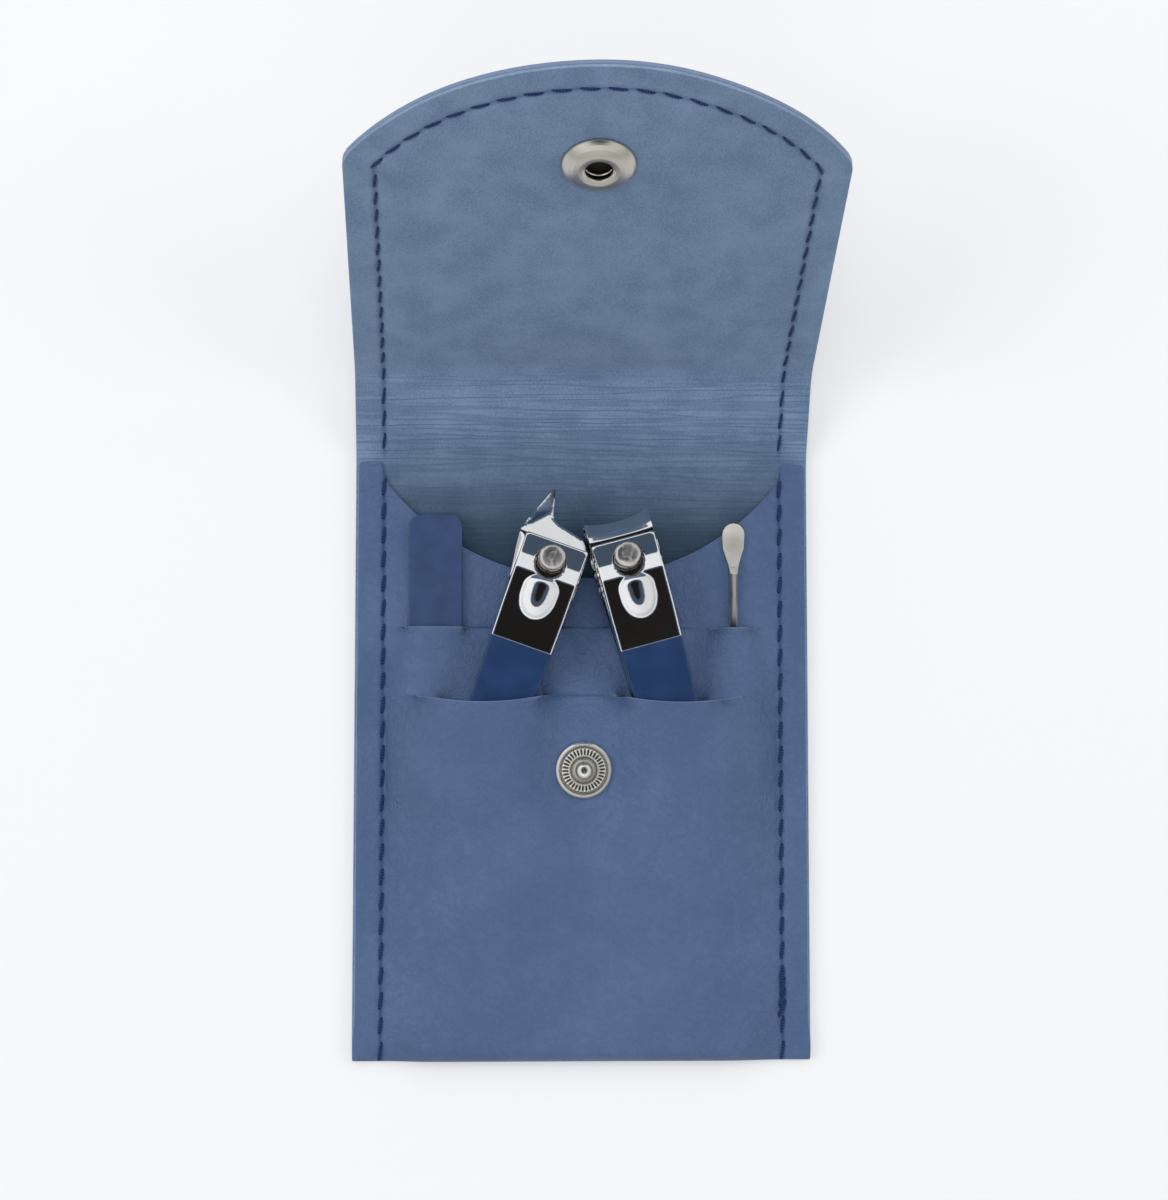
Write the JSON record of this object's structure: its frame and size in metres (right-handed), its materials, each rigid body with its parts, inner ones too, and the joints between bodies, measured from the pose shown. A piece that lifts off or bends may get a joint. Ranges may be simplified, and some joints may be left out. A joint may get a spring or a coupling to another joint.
{
  "type": "manicure set case",
  "caption": "Folded leather pouch with a snap flap that holds two nail clippers, a nail file and an ear pick in slits of its front panel.",
  "frame": {"origin": "centre of the pouch's back face, which lies on the table", "axes": "+Y along the pouch towards the flap, +Z out of the pouch's front"},
  "size_m": [0.0804, 0.1552, 0.0806],
  "materials": {
    "outer_leather": "smooth blue leather with a fine pebbled grain and a low sheen",
    "suede_lining": "matte blue suede with soft cross wrinkles",
    "thread": "dark navy sewing thread",
    "bright_nickel": "bright nickel plate",
    "spring_wire": "drawn spring wire",
    "polished_steel": "mirror-polished plated steel",
    "painted_lever": "mirror-polished plated steel, painted matte navy behind the head",
    "navy_paint": "matte navy paint on steel",
    "satin_steel": "satin steel"
  },
  "bodies": {
    "pouch": {"back_panel": "outer_leather", "pocket_lining": "suede_lining", "front_panel": "outer_leather", "left_side_stitching": "thread", "right_side_stitching": "thread", "snap_stud": "bright_nickel", "snap_stud_eyelet": "bright_nickel"},
    "spine": {"spine_leather": "outer_leather", "spine_lining": "suede_lining", "spine_stitching": "thread"},
    "flap": {"flap_leather": "outer_leather", "flap_lining": "suede_lining", "flap_stitching": "thread", "snap_cap": "bright_nickel", "snap_socket": "bright_nickel", "snap_socket_spring": "spring_wire"},
    "left_clipper": {"left_lower_leaf": "polished_steel", "left_post": "polished_steel", "left_tail_rivet": "polished_steel"},
    "left_jaw": {"left_upper_leaf": "polished_steel"},
    "left_lever_arm": {"left_lever": "painted_lever"},
    "right_clipper": {"right_lower_leaf": "polished_steel", "right_post": "polished_steel", "right_tail_rivet": "polished_steel"},
    "right_jaw": {"right_upper_leaf": "polished_steel"},
    "right_lever_arm": {"right_lever": "painted_lever"},
    "file": {"nail_file": "navy_paint"},
    "pick": {"ear_pick": "satin_steel"}
  },
  "joints": [
    {"name": "spine_fold", "type": "hinge", "parent": "pouch", "child": "spine", "pos_m": [0, 0.053, 0.0015], "axis": [-1, 0, 0], "range_deg": [-59, 30], "stiffness_Nm_per_rad": 0.15},
    {"name": "flap_fold", "type": "hinge", "parent": "spine", "child": "flap", "pos_m": [0, 0.06714, 0.01], "axis": [-1, 0, 0], "range_deg": [-63, 32.1], "stiffness_Nm_per_rad": 0.1},
    {"name": "left_clipper_slide", "type": "slide", "parent": "pouch", "child": "left_clipper", "axis": [-0.2624, 0.9593, 0.1045], "range_m": [0, 0.006]},
    {"name": "left_jaw_squeeze", "type": "hinge", "parent": "left_clipper", "child": "left_jaw", "pos_m": [-0.01821, -0.00126, 0.00646], "axis": [-0.9432, 0.3322, 0], "range_deg": [0, 2.6], "stiffness_Nm_per_rad": 2},
    {"name": "left_lever_turn", "type": "hinge", "parent": "left_clipper", "child": "left_lever_arm", "pos_m": [-0.00553, 0.03472, 0.0046], "axis": [0.0174, 0.0494, -0.9986], "range_deg": [0, 2]},
    {"name": "right_clipper_slide", "type": "slide", "parent": "pouch", "child": "right_clipper", "axis": [-0.2635, 0.9632, 0.0523], "range_m": [0, 0.014]},
    {"name": "right_jaw_squeeze", "type": "hinge", "parent": "right_clipper", "child": "right_jaw", "pos_m": [0.01726, -0.00152, 0.00646], "axis": [-0.9646, -0.2639, 0], "range_deg": [0, 2.6], "stiffness_Nm_per_rad": 2},
    {"name": "right_lever_turn", "type": "hinge", "parent": "right_clipper", "child": "right_lever_arm", "pos_m": [0.00719, 0.03528, 0.0046], "axis": [0.0138, -0.0505, 0.9986], "range_deg": [0, 2]},
    {"name": "file_slide", "type": "slide", "parent": "pouch", "child": "file", "axis": [0, 0.9998, 0.0185], "range_m": [0, 0.012]},
    {"name": "pick_slide", "type": "slide", "parent": "pouch", "child": "pick", "axis": [0, 0.9998, 0.0184], "range_m": [0, 0.014]}
  ],
  "couplings": [
    {"joint": "flap_fold", "follows": "spine_fold", "ratio": 1.0672}
  ]
}
